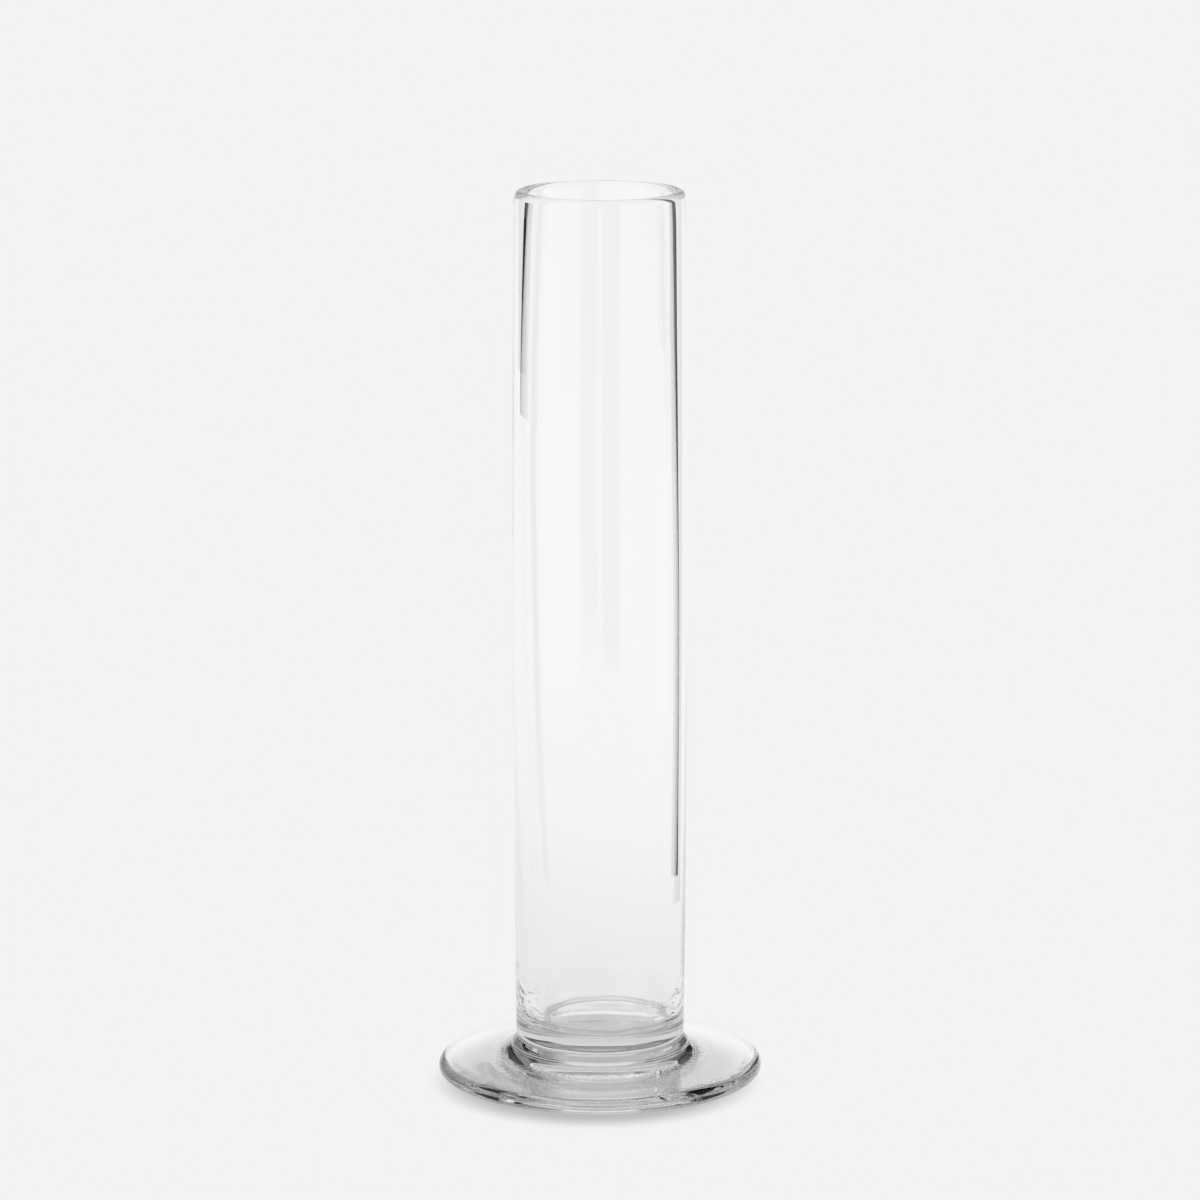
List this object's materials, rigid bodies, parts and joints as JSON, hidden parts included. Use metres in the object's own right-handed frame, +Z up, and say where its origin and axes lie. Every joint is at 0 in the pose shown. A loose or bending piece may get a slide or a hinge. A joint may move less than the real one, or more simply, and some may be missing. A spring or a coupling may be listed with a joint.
{
  "type": "gas jar",
  "caption": "Tall clear glass jar: a thick-walled cylinder with an open, rounded mouth and a solid base, standing on a wide, thin disc foot.",
  "frame": {"origin": "centre of the plane that the foot rests on, on the jar's axis", "axes": "+Z up the jar's axis, out of its mouth; X and Y are any two directions across it, as the jar is round"},
  "size_m": [0.115, 0.115, 0.31],
  "materials": {
    "clear_glass": "clear and colourless, fire-polished, slightly wavy from blowing"
  },
  "bodies": {
    "root": {"jar": "clear_glass"}
  },
  "joints": []
}
